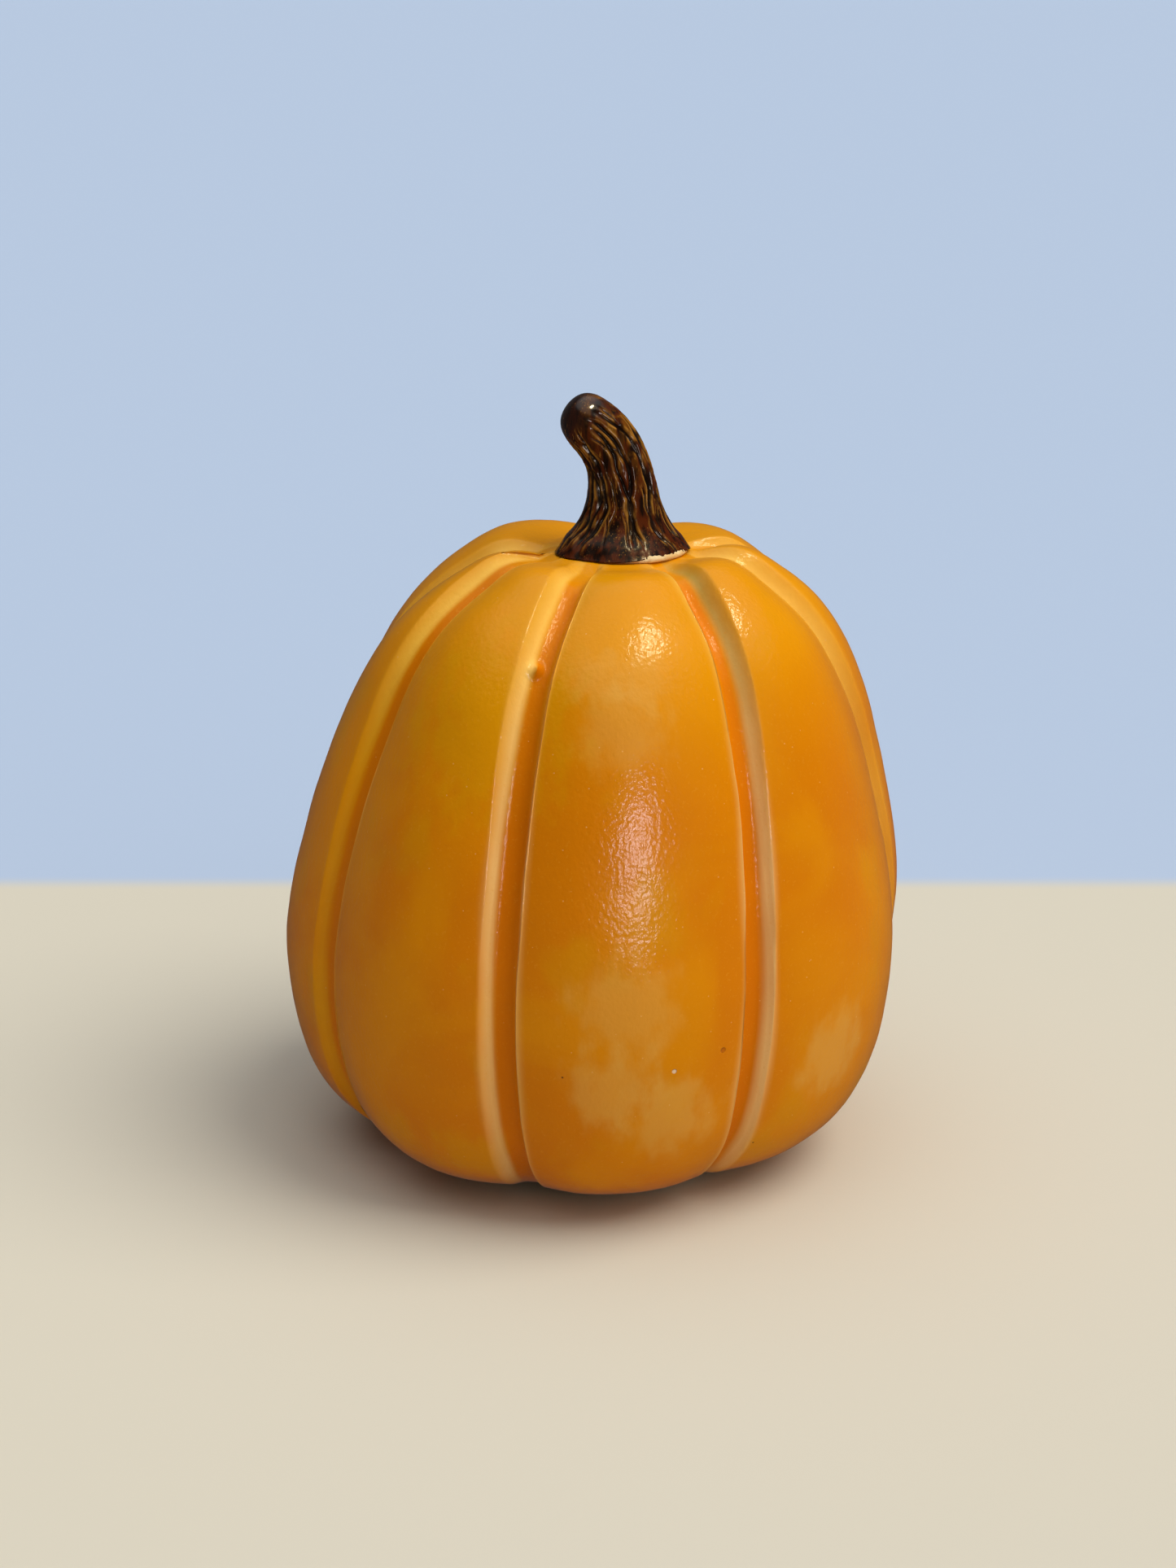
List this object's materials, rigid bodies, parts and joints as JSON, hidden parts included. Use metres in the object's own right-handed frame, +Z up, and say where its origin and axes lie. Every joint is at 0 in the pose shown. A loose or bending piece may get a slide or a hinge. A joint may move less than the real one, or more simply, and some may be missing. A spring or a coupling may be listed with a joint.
{
  "type": "ceramic pumpkin figure",
  "caption": "Hollow glazed ceramic pumpkin figure with uneven lobes, a bent dark stem stuck on with slip, and felt pads under its foot.",
  "frame": {"origin": "on the surface that the figure stands on, under the middle of the body", "axes": "+Z up, +X to the right and -Y towards the viewer of the figure's front"},
  "size_m": [0.0936, 0.0934, 0.1148],
  "materials": {
    "orange_glaze": "satin-gloss orange glaze, breaking to pale yellow on the groove edges and pooling red-orange in the grooves",
    "dark_glaze": "glossy dark brown glaze, amber where it is thin on the carved ridges",
    "bare_slip": "matt cream clay slip",
    "felt": "brown pressed felt"
  },
  "bodies": {
    "root": {"body_shell": "orange_glaze", "stem": "dark_glaze", "stem_slip_joint": "bare_slip", "felt_pad_1": "felt", "felt_pad_2": "felt", "felt_pad_3": "felt", "felt_pad_4": "felt"}
  },
  "joints": []
}
